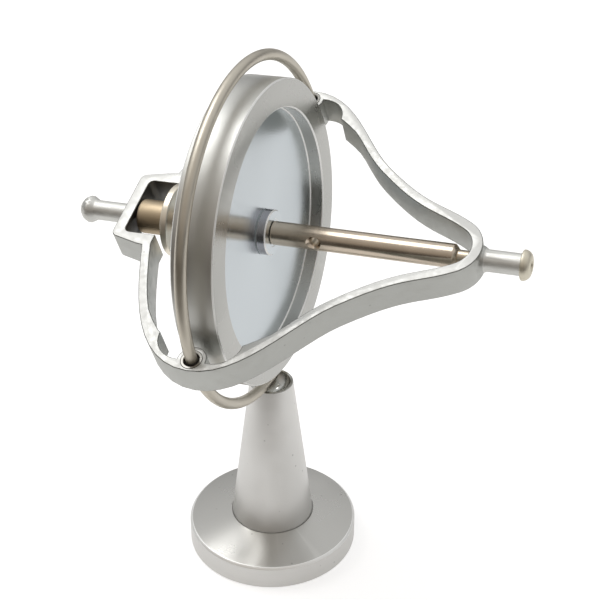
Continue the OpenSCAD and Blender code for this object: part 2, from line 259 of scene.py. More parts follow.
def node(tree, kind, settings=(), **links):
    """Adds a node, sets its properties and sockets, and links sockets given as outputs."""
    made = tree.nodes.new(kind)
    for name, value in dict(settings).items():
        setattr(made, name, value)
    for name, value in links.items():
        socket = made.inputs[int(name[1:])] if name[1:].isdigit() else made.inputs[name.replace("_", " ")]
        if isinstance(value, bpy.types.NodeSocket):
            tree.links.new(value, socket)
        else:
            socket.default_value = value
    return made


def rings_per_metre(spacing):
    """Scale of a Wave texture whose lines lie this far apart."""
    return 2 * math.pi / (20 * spacing)


# The bump of every metal, and the pits that some of them have
BUMP_STRENGTH = 0.35
BUMP_DEPTH = 0.02 * MM
PIT_SPACING = 3.2 * MM
PIT_CORE = 0.03
PIT_EDGE = 0.09
# Roughness wanders between these shares of its own value
SMOOTHER, ROUGHER = 0.82, 1.22


def metal(name, colour, rough, lathe_axis=None, line=0.35 * MM, line_depth=0.15, grain=0.6 * MM,
          grain_depth=0.1, mottle=9 * MM, tint=0.1, wear=0.25, pits=0.0, brushed=0.0):
    """One metal with its tool lines, grain, soft mottling, fine specks and pale rubbed edges.
    A brushed one spreads its reflections across the tool lines. The frame brings plain metals under
    the record's names, so a finish here is never named as one of those."""
    mat = bpy.data.materials.new(name)
    mat.use_nodes = True
    tree = mat.node_tree
    shader = tree.nodes["Principled BSDF"]
    shader.inputs["Metallic"].default_value = 1.0
    place = node(tree, "ShaderNodeTexCoord").outputs["Object"]
    if lathe_axis == "X":
        place = node(tree, "ShaderNodeMapping", {"vector_type": "TEXTURE"}, Vector=place,
                     Location=CENTRE, Rotation=Euler((0, -PITCH, 0))).outputs["Vector"]
    if brushed:
        axis = (1, 0, 0) if lathe_axis == "X" else (0, 0, 1)
        around = node(tree, "ShaderNodeVectorMath", {"operation": "CROSS_PRODUCT"}, _0=axis,
                      _1=place).outputs[0]
        if lathe_axis == "X":
            around = node(tree, "ShaderNodeMapping", {"vector_type": "VECTOR"}, Vector=around,
                          Rotation=Euler((0, -PITCH, 0))).outputs["Vector"]
        around = node(tree, "ShaderNodeVectorTransform",
                      {"vector_type": "VECTOR", "convert_from": "OBJECT", "convert_to": "WORLD"},
                      Vector=around).outputs["Vector"]
        tree.links.new(around, shader.inputs["Tangent"])
        shader.inputs["Anisotropic"].default_value = brushed
        shader.inputs["Anisotropic Rotation"].default_value = 0.25
    cloudy = node(tree, "ShaderNodeTexNoise", Vector=place, Scale=1 / mottle, Detail=4.0,
                  Roughness=0.55).outputs["Fac"]
    grains = node(tree, "ShaderNodeTexNoise", Vector=place, Scale=1 / grain, Detail=3.0,
                  Roughness=0.6).outputs["Fac"]
    dark = tuple(c * (1 - tint) for c in colour[:3]) + (1.0,)
    light = tuple(min(1.0, c * (1 + tint)) for c in colour[:3]) + (1.0,)
    base = node(tree, "ShaderNodeMix", {"data_type": "RGBA"}, _0=cloudy, _6=dark, _7=light).outputs[2]
    edge = node(tree, "ShaderNodeNewGeometry").outputs["Pointiness"]
    rubbed = node(tree, "ShaderNodeMapRange", _0=edge, _1=0.52, _2=0.62, _3=0.0, _4=wear).outputs[0]
    pale = tuple(min(1.0, c * 1.25 + 0.05) for c in colour[:3]) + (1.0,)
    base = node(tree, "ShaderNodeMix", {"data_type": "RGBA"}, _0=rubbed, _6=base, _7=pale).outputs[2]
    height = node(tree, "ShaderNodeMath", {"operation": "MULTIPLY"}, _0=grains, _1=grain_depth).outputs[0]
    if lathe_axis:
        lines = node(tree, "ShaderNodeTexWave",
                     {"wave_type": "RINGS", "rings_direction": lathe_axis, "wave_profile": "SIN"},
                     Vector=place, Scale=rings_per_metre(line), Distortion=0.6, Detail=2.0,
                     Detail_Scale=1.5).outputs["Fac"]
        height = node(tree, "ShaderNodeMath", {"operation": "MULTIPLY_ADD"}, _0=lines, _1=line_depth,
                      _2=height).outputs[0]
    if pits:
        cells = node(tree, "ShaderNodeTexVoronoi", Vector=place, Scale=1 / PIT_SPACING).outputs["Distance"]
        pit = node(tree, "ShaderNodeMapRange", _0=cells, _1=PIT_CORE, _2=PIT_EDGE, _3=pits,
                   _4=0.0).outputs[0]
        shade = tuple(c * 0.35 for c in colour[:3]) + (1.0,)
        base = node(tree, "ShaderNodeMix", {"data_type": "RGBA"}, _0=pit, _6=base, _7=shade).outputs[2]
        height = node(tree, "ShaderNodeMath", {"operation": "SUBTRACT"}, _0=height, _1=pit).outputs[0]
    bump = node(tree, "ShaderNodeBump", Strength=BUMP_STRENGTH, Distance=BUMP_DEPTH, Height=height)
    gloss = node(tree, "ShaderNodeMapRange", _0=cloudy, _1=0.3, _2=0.7, _3=rough * SMOOTHER,
                 _4=min(1.0, rough * ROUGHER)).outputs[0]
    tree.links.new(base, shader.inputs["Base Color"])
    tree.links.new(gloss, shader.inputs["Roughness"])
    tree.links.new(bump.outputs["Normal"], shader.inputs["Normal"])
    return mat


def turned_aluminium(hues):
    """Aluminium turned on a lathe and left satin: fine level lines that blur what it reflects."""
    return metal("aluminium_turned", hues.turned, 0.34, "Z", line=0.4 * MM, line_depth=0.4,
                 grain_depth=0.15, tint=0.04, pits=0.5, brushed=0.6)


def faced_top(hues):
    """The base's sloped top, faced with a broader tool that leaves it a little darker."""
    return metal("faced_top", hues.faced, 0.3, "Z", line=0.6 * MM, line_depth=0.5, grain_depth=0.2,
                 tint=0.05, pits=0.5, brushed=0.75)


def painted_highlight_edge_up(hues):
    """The stand's turned edges, painted near white as a painted highlight."""
    return metal("painted_highlight_edge_up", hues.edge, 0.45, "Z", line_depth=0.1, tint=0.03)


def cup_painted_shade(hues):
    """The bowl of the cup, burnished smooth by the ring and painted darker as painted shade inside the
    bowl.
    """
    return metal("cup_painted_shade", hues.cup, 0.14, "Z", line=0.5 * MM, line_depth=0.6, tint=0.15)


def cast_aluminium(hues):
    """Light alloy cast in a mould: pale, dull, finely grained, with a few pits."""
    return metal("aluminium_cast", hues.cast, 0.45, None, grain=0.5 * MM, grain_depth=1.6,
                 mottle=1.6 * MM, tint=0.13, wear=0.4, pits=0.35)


def ground_face(hues):
    """The frame's flat faces, ground bright over the cast grain."""
    return metal("ground_face", hues.ground, 0.5, None, grain=0.4 * MM, grain_depth=1.2,
                 mottle=1.4 * MM, tint=0.12, wear=0.1, pits=0.5)


def cast_edge_painted_shade(hues):
    """The casting's rounded edges, painted dark as painted shade along them."""
    return metal("cast_edge_painted_shade", hues.lip, 0.5, None, grain=0.5 * MM, grain_depth=0.9, mottle=4 * MM,
                 tint=0.2, wear=0.0)


def inside_painted_shade(hues):
    """The as-cast walls inside the square end, painted dark as painted shade in that hollow."""
    return metal("inside_painted_shade", hues.inside, 0.5, None, grain=0.7 * MM, grain_depth=0.9, mottle=2 * MM,
                 tint=0.25, wear=0.2)


def turned_post(hues):
    """The same cast alloy where the posts and the knob were turned: smoother and brighter."""
    return metal("turned_post", hues.post, 0.5, "X", line=0.4 * MM, line_depth=0.3,
                 mottle=2.5 * MM, tint=0.1, wear=0.5)


def nickel_rod(hues):
    """Drawn steel rod, nickel plated: smooth, warm and satin."""
    return metal("nickel_plated_rod", hues.ring, 0.38, None, grain_depth=0.15, mottle=5 * MM, tint=0.1)


def turned_steel(hues):
    """Steel faced on a lathe and polished: close rings round the axle over a soft gloss."""
    return metal("steel_turned", hues.rotor, 0.27, "X", line=0.45 * MM, line_depth=0.3,
                 grain_depth=0.08, mottle=14 * MM, tint=0.05, wear=0.2, brushed=0.65)


def rim_steel(hues):
    """The rim's outside, turned finer and darker than the faces."""
    return metal("rim_steel", hues.rim, 0.42, "X", line=0.5 * MM, line_depth=0.2, mottle=14 * MM,
                 tint=0.06, wear=0.2)


def painted_highlight_edge(hues):
    """The narrow bevels of the rotor and collar, painted near white as a painted highlight."""
    return metal("painted_highlight_edge", hues.edge, 0.5, "X", line_depth=0.1, tint=0.03)


def polished_web(hues):
    """The same steel inside the recess, cooler and brighter from polishing."""
    return metal("polished_steel", hues.web, 0.2, "X", line=0.6 * MM, line_depth=0.25,
                 grain_depth=0.05, mottle=14 * MM, tint=0.05, wear=0.1, brushed=0.75)


def hub_steel(hues):
    """A steel collar with a faint purple cast."""
    return metal("steel_hub", hues.hub, 0.16, "X", line=0.3 * MM, line_depth=0.4, wear=0.2)


def plated_axle(hues):
    """Steel shaft, nickel plated and worn warm by string and fingers."""
    return metal("nickel_plated_axle", hues.axle, 0.22, "X", line=0.5 * MM, line_depth=0.12,
                 mottle=4 * MM, tint=0.14, wear=0.3)


def bare_axle(hues):
    """The axle's own steel, ground bright where no sleeve covers it."""
    return metal("bare_axle", hues.bare, 0.34, "X", line=0.5 * MM, line_depth=0.12, mottle=4 * MM)


def champagne_plate(hues):
    """Turned brass with a champagne plate: satin, with rings round the axle."""
    return metal("champagne_plate", hues.champagne, 0.5, "X", line=0.5 * MM, line_depth=0.3,
                 mottle=5 * MM, tint=0.08, wear=0.3)


def pale_flange(hues):
    """The flange's paler plate, satin."""
    return metal("pale_flange", hues.flange, 0.35, "X", line=0.5 * MM, line_depth=0.3,
                 mottle=5 * MM, tint=0.06, wear=0.3, brushed=0.3)


def nickel_silver(hues):
    """Turned nickel silver, faintly yellow, a little tarnished."""
    return metal("nickel_silver", hues.pin, 0.44, "X", line=0.25 * MM, line_depth=0.3,
                 mottle=1.5 * MM, tint=0.14, wear=0.3)


def bright_bush(hues):
    """Thin turned bush, painted dark as painted shade of the gap round it, bright at its lips."""
    return metal("bush_painted_shade", hues.bush, 0.25, None, grain_depth=0.1, wear=0.5)


def sintered_bronze(hues):
    """Pressed bronze powder: matt, brown gold and slightly porous."""
    return metal("sintered_bronze", hues.bronze, 0.45, None, grain=0.3 * MM, grain_depth=0.8)


def zinc_steel(hues):
    """Steel screw with a cool zinc plate."""
    return metal("steel_zinc", hues.zinc, 0.3, "Z", line=0.3 * MM, line_depth=0.3)


FINISHES = (turned_aluminium, faced_top, painted_highlight_edge_up, cup_painted_shade, cast_aluminium,
            ground_face, cast_edge_painted_shade, inside_painted_shade, turned_post, nickel_rod, turned_steel, rim_steel,
            painted_highlight_edge, polished_web, hub_steel, plated_axle, bare_axle, champagne_plate,
            pale_flange, nickel_silver, bright_bush, sintered_bronze, zinc_steel)


def finish(name):
    return bpy.data.materials[name]


def wear_finish(obj, name):
    obj.data.materials.clear()
    obj.data.materials.append(finish(name))


# ---------------------------------------------------------------- modelling helpers

def clear_selection():
    if bpy.context.object and bpy.context.object.mode != "OBJECT":
        bpy.ops.object.mode_set(mode="OBJECT")
    bpy.ops.object.select_all(action="DESELECT")


def select_only(obj):
    clear_selection()
    obj.select_set(True)
    bpy.context.view_layer.objects.active = obj


def apply_modifier(obj, kind, **settings):
    select_only(obj)
    bpy.ops.object.modifier_add(type=kind)
    modifier = obj.modifiers[-1]
    for name, value in settings.items():
        setattr(modifier, name, value)
    bpy.ops.object.modifier_apply(modifier=modifier.name)


# A ring on the turning axis keeps this radius, because a ring of no size can't be scaled out again
AXIS_RADIUS = 0.01 * MM


def turn_piece(name, profile, segments=128, bored=False):
    """Turns a piece about Z: a circle at the first (height, radius), extruded and scaled through
    the rest. A bored piece's last ring joins its first. On any other piece an end off the axis gets
    a flat face, and an end on the axis stays open by twice AXIS_RADIUS."""
    clear_selection()
    height, radius = profile[0]
    bpy.ops.mesh.primitive_circle_add(vertices=segments, radius=max(radius, AXIS_RADIUS),
                                      location=(0, 0, height))
    obj = bpy.context.object
    obj.name = name
    bpy.ops.object.transform_apply(location=True, rotation=False, scale=False)
    bpy.ops.object.mode_set(mode="EDIT")
    bpy.ops.mesh.select_all(action="SELECT")
    if not bored and radius > 0:
        bpy.ops.mesh.edge_face_add()
    for next_height, next_radius in profile[1:]:
        bpy.ops.mesh.extrude_edges_move(
            TRANSFORM_OT_translate={"value": (0, 0, next_height - height)})
        factor = max(next_radius, AXIS_RADIUS) / max(radius, AXIS_RADIUS)
        bpy.ops.transform.resize(value=(factor, factor, 1), center_override=(0, 0, next_height))
        height, radius = next_height, next_radius
    if bored:
        close_bore()
    elif radius > 0:
        bpy.ops.mesh.edge_face_add()
    bpy.ops.mesh.select_all(action="SELECT")
    bpy.ops.mesh.remove_doubles(threshold=0.002 * MM)
    bpy.ops.mesh.normals_make_consistent(inside=False)
    bpy.ops.object.mode_set(mode="OBJECT")
    return obj


def close_bore():
    """Bridges the two open rings of a bored piece."""
    bpy.ops.mesh.select_all(action="DESELECT")
    bpy.ops.mesh.select_non_manifold()
    bpy.ops.mesh.bridge_edge_loops()


def gyro_matrix():
    """From the level gyroscope's own axes, X along the axle, to its place in the cup."""
    roll = sizes("gyro_sizes").roll
    return (Matrix.Translation(CENTRE) @ Matrix.Rotation(-PITCH, 4, "Y")
            @ Matrix.Rotation(roll, 4, "X"))


def along_axle():
    return gyro_matrix() @ Matrix.Rotation(math.radians(90), 4, "Y")


def settle(obj, matrix):
    """Moves a piece modelled about Z to its place and leaves its object at the origin."""
    select_only(obj)
    obj.matrix_world = matrix
    bpy.context.view_layer.update()
    bpy.ops.object.transform_apply(location=True, rotation=True, scale=True)
    return obj


def hand_over(obj, body, material, slot, *nodes, angle=30):
    """Shades a finished piece, gives it its metal, and lets it stand for the frame's own nodes."""
    select_only(obj)
    bpy.ops.object.shade_smooth_by_angle(angle=math.radians(angle))
    if material:
        wear_finish(obj, material)
    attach(obj, body)
    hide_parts(*nodes)


# A face this steep against the turning axis, but no steeper, is a bevel
BEVEL_FROM, BEVEL_TO = 0.25, 0.97


def paint_bevel_highlights(obj, axis, name):
    """Gives the narrow sloping faces of a turned piece a near-white metal: a painted highlight on its
    edges.
    """
    obj.data.materials.append(finish(name))
    slot = len(obj.data.materials) - 1
    for face in obj.data.polygons:
        if BEVEL_FROM < abs(face.normal.dot(axis)) < BEVEL_TO:
            face.material_index = slot


def rounded(points, radius, steps=4):
    """A profile whose inner corners are rounded by this much, as far as their sides allow."""
    out = [points[0]]
    for before, here, after in zip(points, points[1:], points[2:]):
        a, b, c = Vector(before), Vector(here), Vector(after)
        room = min((a - b).length, (c - b).length) * 0.45
        cut = min(radius, room)
        if cut < 0.01 * MM or abs((a - b).angle(c - b, math.pi) - math.pi) < 0.02:
            out.append(tuple(b))
            continue
        start = b + (a - b).normalized() * cut
        end = b + (c - b).normalized() * cut
        for i in range(steps + 1):
            t = i / steps
            out.append(tuple((1 - t) ** 2 * start + 2 * (1 - t) * t * b + t * t * end))
    out.append(points[-1])
    return out


# ---------------------------------------------------------------- pieces of the stand

class GYRO_OT_base(bpy.types.Operator):
    """Turns the round base with its sloped top, foot seat and screw hole"""
    bl_idname = "gyro.base"
    bl_label = "Base"

    def execute(self, context):
        s = sizes("stand_sizes")
        outer = BASE_TOP.x
        top = BASE_TOP.z
        seat = FOOT[0].z
        foot = FOOT[1].x + 0.15 * MM
        hole = s.screw_d / 2
        sink = s.sink_d / 2
        profile = rounded([
            (sink - hole, hole), (0.3 * MM, sink), (0, sink), (0, outer - 0.3 * MM),
            (0.3 * MM, outer), (s.base_edge_h - s.base_bevel, outer),
            (s.base_edge_h, outer - s.base_bevel), (top, foot), (seat, foot), (seat, hole),
            (sink - hole, hole)], 0.12 * MM)
        base = turn_piece("base_turned", profile[:-1], 192, bored=True)
        hand_over(base, "stand", "aluminium_turned", "turned_aluminium", "base_disc")
        # the base's bevels take a painted highlight
        paint_bevel_highlights(base, Vector((0, 0, 1)), "painted_highlight_edge_up")
        base.data.materials.append(finish("faced_top"))
        for face in base.data.polygons:
            if face.normal.z >= BEVEL_TO:
                face.material_index = 2
        return {"FINISHED"}


class GYRO_OT_pedestal(bpy.types.Operator):
    """Turns the cone, its rim and the bowl of its cup"""
    bl_idname = "gyro.pedestal"
    bl_label = "Pedestal"

    def execute(self, context):
        s = sizes("stand_sizes")
        foot_r = FOOT[1].x
        foot_z = FOOT[0].z
        rim = s.cup_d / 2
        mouth = rim - s.cup_land
        bowl = (mouth ** 2 + s.cup_depth ** 2) / (2 * s.cup_depth)
        side = rounded([
            (foot_z, foot_r - 0.3 * MM), (foot_z + 0.25 * MM, foot_r),
            (RIM_Z, rim), (RIM_Z, mouth)], 0.14 * MM)
        steps = 14
        turn = math.asin(mouth / bowl)
        cup = [(RIM_Z - s.cup_depth + bowl - bowl * math.cos(turn * (1 - i / steps)),
                bowl * math.sin(turn * (1 - i / steps))) for i in range(1, steps + 1)]
        pedestal = turn_piece("pedestal_turned", side + cup, 128)
        hand_over(pedestal, "stand", "aluminium_turned", "turned_aluminium", "pedestal")
        # the bowl and the rim land take the darker cup metal: painted shade in the cup
        pedestal.data.materials.append(finish("cup_painted_shade"))
        for face in pedestal.data.polygons:
            if face.normal.z > 0.2:
                face.material_index = 1
        return {"FINISHED"}


# ---------------------------------------------------------------- pieces of the frame

class GYRO_OT_frame(bpy.types.Operator):
    """Rounds the edges of the cast frame as a mould leaves them"""
    bl_idname = "gyro.frame"
    bl_label = "Cast frame"

    def execute(self, context):
        s = sizes("gyro_sizes")
        clear_selection()
        cad = frame["nodes"]["frame_casting"]
        skin = bpy.data.objects.new("frame_cast_skin", cad.data.copy())
        context.scene.collection.objects.link(skin)
        select_only(skin)
        bpy.ops.object.mode_set(mode="EDIT")
        bpy.ops.mesh.select_all(action="SELECT")
        bpy.ops.mesh.remove_doubles(threshold=0.003 * MM)
        bpy.ops.mesh.dissolve_limited(angle_limit=math.radians(1.0))
        bpy.ops.object.mode_set(mode="OBJECT")
        self.round_edges(skin, s)
        hand_over(skin, "gyroscope", "aluminium_cast", "cast_aluminium", "frame_casting", angle=35)
        skin.data.materials.append(finish("turned_post"))
        nose = s.post_end - s.post_l
        for face in skin.data.polygons:
            reach = (face.center - CENTRE).dot(AXLE)
            if reach > nose or reach < s.box_end:
                face.material_index = 1
        self.darken_inside(skin, s)
        return {"FINISHED"}

    def darken_inside(self, skin, s):
        """Gives the walls round the spool painted shade, the flat faces their grinding, and the rounded
        edges painted shade.
        """
        skin.data.materials.append(finish("inside_painted_shade"))
        skin.data.materials.append(finish("ground_face"))
        skin.data.materials.append(finish("cast_edge_painted_shade"))
        level = gyro_matrix().inverted()
        turn = level.to_3x3()
        for face in skin.data.polygons:
            place = level @ face.center
            normal = turn @ face.normal
            inward = normal.x > 0.5 or normal.y * place.y < 0
            # walls facing into the square end get painted shade
            if s.box_in < place.x < s.arms and abs(normal.z) < 0.5 and inward and abs(place.y) < s.box_half:
                face.material_index = 2
            elif abs(normal.z) > 0.999 and abs(place.z) > 0.49 * s.frame_h:
                face.material_index = 3
            # rounded top and bottom edges get painted shade
            elif abs(place.z) > 0.5 * s.frame_h - s.cast_bevel and abs(normal.z) > 0.15:
                face.material_index = 4

    def round_edges(self, skin, s):
        """Bevels the edges between the frame's two flat faces and its walls."""
        up = gyro_matrix().to_3x3() @ Vector((0, 0, 1))
        mesh = skin.data
        faces_of = {}
        for face in mesh.polygons:
            for key in face.edge_keys:
                faces_of.setdefault(key, []).append(face.index)
        normals = [abs(face.normal.dot(up)) for face in mesh.polygons]
        bpy.ops.object.mode_set(mode="EDIT")
        bpy.ops.mesh.select_mode(type="EDGE")
        bpy.ops.mesh.select_all(action="DESELECT")
        bpy.ops.object.mode_set(mode="OBJECT")
        for edge in mesh.edges:
            pair = faces_of.get(edge.key, [])
            flat = [normals[i] > 0.999 for i in pair]
            edge.select = len(pair) == 2 and flat[0] != flat[1]
        bpy.ops.object.mode_set(mode="EDIT")
        bpy.ops.mesh.bevel(offset=s.cast_bevel, segments=3, profile=0.5, clamp_overlap=True)
        bpy.ops.object.mode_set(mode="OBJECT")


class GYRO_OT_ring(bpy.types.Operator):
    """Bends the plated rod into the carrying ring"""
    bl_idname = "gyro.ring"
    bl_label = "Ring"

    def execute(self, context):
        s = sizes("gyro_sizes")
        clear_selection()
        bpy.ops.mesh.primitive_torus_add(
            major_radius=(s.ring_d - s.rod_d) / 2, minor_radius=s.rod_d / 2,
            major_segments=256, minor_segments=28)
        ring = bpy.context.object
        ring.name = "ring_rod"
        settle(ring, along_axle())
        hand_over(ring, "gyroscope", "nickel_plated_rod", "nickel_rod", "ring")
        return {"FINISHED"}


class GYRO_OT_eyelets(bpy.types.Operator):
    """Turns the two thin bushes that line the eyelets"""
    bl_idname = "gyro.eyelets"
    bl_label = "Eyelet bushes"

    def execute(self, context):
        s = sizes("gyro_sizes")
        half = s.frame_h / 2
        inner = s.eyelet_r
        outer = inner + s.bush_wall
        lip = 0.15 * MM
        profile = [(-half + lip, inner), (-half, inner + lip), (-half, outer), (half, outer),
                   (half, inner + lip), (half - lip, inner)]
        for side, word in ((-1, "front"), (1, "back")):
            bush = turn_piece("eyelet_" + word, profile, 64, bored=True)
            settle(bush, gyro_matrix() @ Matrix.Translation((0, side * s.eyelet_y, 0)))
            # each bush is painted dark: painted shade of the gap round it
            hand_over(bush, "gyroscope", "bush_painted_shade", "bright_bush", "eyelet_bush_" + word)
        return {"FINISHED"}


class GYRO_OT_tip_pin(bpy.types.Operator):
    """Turns the pin with its rounded head and the dimple in its end"""
    bl_idname = "gyro.tip_pin"
    bl_label = "Tip pin"

    def execute(self, context):
        s = sizes("gyro_sizes")
        radius = s.head_d / 2
        shares = ((0, 0.95), (0.08, 1), (0.3, 1), (0.55, 0.94), (0.75, 0.85), (0.9, 0.73), (1, 0.54),
                  (1, 0.36), (0.6, 0.28), (0.4, 0))
        head = [(s.post_end + along * s.head_l, radius * out) for along, out in shares]
        shank = [(s.post_end - 5 * MM, 0), (s.post_end - 5 * MM, 1.2 * MM), (s.post_end, 1.2 * MM)]
        pin = turn_piece("tip_pin_turned", rounded(shank + head, 0.16 * MM), 64)
        settle(pin, along_axle())
        hand_over(pin, "gyroscope", "nickel_silver", "pale_brass", "tip_pin", angle=25)
        return {"FINISHED"}


# ---------------------------------------------------------------- pieces of the rotor

class GYRO_OT_rotor(bpy.types.Operator):
    """Turns the rotor with its heavy rim, thin web and bevelled edges"""
    bl_idname = "gyro.rotor"
    bl_label = "Rotor"

    def execute(self, context):
        s = sizes("rotor_sizes")
        radius = s.rotor_d / 2
        half = s.rim_w / 2
        web = s.web_t / 2
        inner = s.recess_d / 2
        bore = s.hub_d / 2 - s.hub_lip
        right = [(web, bore), (web, inner - s.corner), (web + s.corner, inner),
                 (half - s.bevel, inner), (half, inner + s.bevel), (half, radius - s.bevel),
                 (half - s.bevel, radius)]
        left = [(-height, out) for height, out in reversed(right)]
        profile = rounded(right + left, 0.06 * MM, 3)
        rotor = turn_piece("rotor_turned", profile, 256, bored=True)
        settle(rotor, along_axle())
        hand_over(rotor, "rotor", "steel_turned", "turned_steel", "rotor_disc")
        for name in ("polished_steel", "rim_steel"):
            rotor.data.materials.append(finish(name))
        for face in rotor.data.polygons:
            offset = face.center - CENTRE
            out = (offset - AXLE * offset.dot(AXLE)).length
            if out < inner - 0.05 * MM:
                face.material_index = 1
            elif out > radius - 0.02 * MM:
                face.material_index = 2
        # the rotor's bevels take a painted highlight
        paint_bevel_highlights(rotor, AXLE, "painted_highlight_edge")
        return {"FINISHED"}


class GYRO_OT_hub(bpy.types.Operator):
    """Turns the hub collar that grips the web"""
    bl_idname = "gyro.hub"
    bl_label = "Hub collar"

    def execute(self, context):
        s = sizes("rotor_sizes")
        web = s.web_t / 2
        end = web + s.hub_h
        bore = s.axle_d / 2
        barrel = s.hub_d / 2 - s.hub_lip
        outer = s.hub_d / 2
        lip = 0.25 * MM
        groove = 0.08 * MM
        profile = [(-web, bore), (-web, barrel), (web, barrel), (web, outer - lip),
                   (web + lip, outer), (end - lip, outer), (end, outer - lip),
                   (end, s.sleeve_d / 2 + 0.5 * MM), (end - groove, s.sleeve_d / 2 + 0.4 * MM),
                   (end - groove, s.sleeve_d / 2 + 0.1 * MM), (end - groove, bore)]
        hub = turn_piece("hub_turned", profile, 96, bored=True)
        settle(hub, along_axle())
        hand_over(hub, "rotor", "steel_hub", "hub_steel", "hub_bush", angle=25)
        # the collar's bevels take a painted highlight
        paint_bevel_highlights(hub, AXLE, "painted_highlight_edge")
        hub.data.materials.append(finish("polished_steel"))
        for face in hub.data.polygons:
            if abs(face.normal.dot(AXLE)) >= BEVEL_TO:
                face.material_index = 2
        return {"FINISHED"}


class GYRO_OT_sleeve(bpy.types.Operator):
    """Turns the winding sleeve and drills its countersunk string hole"""
    bl_idname = "gyro.sleeve"
    bl_label = "Winding sleeve"

    def execute(self, context):
        s = sizes("rotor_sizes")
        start = s.web_t / 2 + s.hub_h
        bore = s.axle_d / 2
        outer = s.sleeve_d / 2
        end = s.sleeve_end
        profile = rounded([
            (start, bore), (start, outer - 0.15 * MM), (start + 0.15 * MM, outer),
            (end - s.sleeve_bevel, outer), (end, outer - s.sleeve_bevel), (end, bore)], 0.08 * MM)
        sleeve = turn_piece("winding_sleeve_turned", profile, 96, bored=True)
        self.drill(sleeve, s)
        settle(sleeve, along_axle())
        hand_over(sleeve, "rotor", "nickel_plated_axle", "plated_axle", "winding_sleeve", angle=35)
        return {"FINISHED"}

    def drill(self, sleeve, s):
        """Cuts the cross hole, wider at both mouths where it is countersunk."""
        outer = s.sleeve_d / 2
        hole = s.string_d / 2
        sink = 0.65 * MM
        mouth = outer - 0.8 * MM
        profile = [(-outer - 1 * MM, hole + sink), (-outer, hole + sink), (-mouth, hole),
                   (mouth, hole), (outer, hole + sink), (outer + 1 * MM, hole + sink)]
        drill = turn_piece("string_drill", profile, 48)
        turn = (Matrix.Translation((0, 0, s.string_x)) @ Matrix.Rotation(s.string_turn, 4, "Z")
                @ Matrix.Rotation(math.radians(-90), 4, "Y"))
        settle(drill, turn)
        apply_modifier(sleeve, "BOOLEAN", operation="DIFFERENCE", object=drill, solver="EXACT")
        bpy.data.objects.remove(drill)


class GYRO_OT_spool(bpy.types.Operator):
    """Turns the spool and the flange beside it"""
    bl_idname = "gyro.spool"
    bl_label = "Spool and flange"

    def execute(self, context):
        s = sizes("rotor_sizes")
        bore = s.axle_d / 2
        start = s.spool_x
        joint = start + s.spool_l
        outer = s.spool_d / 2
        profile = rounded([
            (start, bore), (start, outer - 0.5 * MM), (start + 0.15 * MM, outer - 0.15 * MM),
            (start + 0.5 * MM, outer), (joint, outer), (joint, bore)], 0.2 * MM)
        spool = turn_piece("spool_turned", profile, 96, bored=True)
        settle(spool, along_axle())
        hand_over(spool, "rotor", "champagne_plate", "champagne_brass", "spool")
        rim = s.flange_d / 2
        end = joint + s.flange_t
        profile = rounded([
            (joint, bore), (joint, rim - 0.2 * MM), (joint + 0.2 * MM, rim),
            (end - 0.2 * MM, rim), (end, rim - 0.2 * MM), (end, bore)], 0.12 * MM)
        flange = turn_piece("flange_turned", profile, 128, bored=True)
        settle(flange, along_axle())
        hand_over(flange, "rotor", "pale_flange", "champagne_brass", "flange")
        return {"FINISHED"}


class GYRO_OT_plain_parts(bpy.types.Operator):
    """Gives the axle, spacer, bearings and screw of the frame their metals"""
    bl_idname = "gyro.plain_parts"
    bl_label = "Axle, bearings and screw"

    def execute(self, context):
        metals = {"axle": "bare_axle", "left_spacer": "nickel_plated_axle",
                  "left_bearing": "sintered_bronze", "right_bearing": "sintered_bronze",
                  "pedestal_screw": "steel_zinc", "base_disc": "aluminium_turned",
                  "pedestal": "aluminium_turned", "frame_casting": "aluminium_cast",
                  "ring": "nickel_plated_rod", "eyelet_bush_front": "bush_painted_shade",
                  "eyelet_bush_back": "bush_painted_shade", "tip_pin": "nickel_silver",
                  "rotor_disc": "steel_turned", "hub_bush": "steel_hub",
                  "winding_sleeve": "nickel_plated_axle", "spool": "champagne_plate",
                  "flange": "pale_flange"}
        for name, material in metals.items():
            obj = frame["nodes"][name]
            select_only(obj)
            wear_finish(obj, material)
        return {"FINISHED"}


# ---------------------------------------------------------------- stage

class StageSettings(bpy.types.PropertyGroup):
    place: bpy.props.FloatVectorProperty(
        name="Camera", description="Where the camera stands", unit="LENGTH",
        default=(98.42 * MM, -233.41 * MM, 222.06 * MM))
    forward: bpy.props.FloatVectorProperty(
        name="Forward", description="The direction that the camera looks in",
        default=(-0.2868, 0.8028, -0.5227), subtype="DIRECTION")
    tilt: bpy.props.FloatProperty(
        name="Camera tilt", description="Turn of the camera about its own view",
        default=-0.019, unit="ROTATION")
    lens: bpy.props.FloatProperty(
        name="Lens", description="Focal length on a 36 mm sensor", default=83.67,
        unit="CAMERA")
    shift: bpy.props.FloatVectorProperty(
        name="Shift", description="Sideways and upward shift of the picture", size=2,
        default=(-0.0616, -0.0130))
    lamp_place: bpy.props.FloatVectorProperty(
        name="Lamp", description="Where the softbox hangs", unit="LENGTH", default=(-0.35, 0.03, 0.82))
    lamp_size: bpy.props.FloatProperty(
        name="Lamp size", description="Side of the softbox", default=0.5, unit="LENGTH")
    lamp_power: bpy.props.FloatProperty(
        name="Lamp power", description="Power of the softbox in watts", default=2.3)


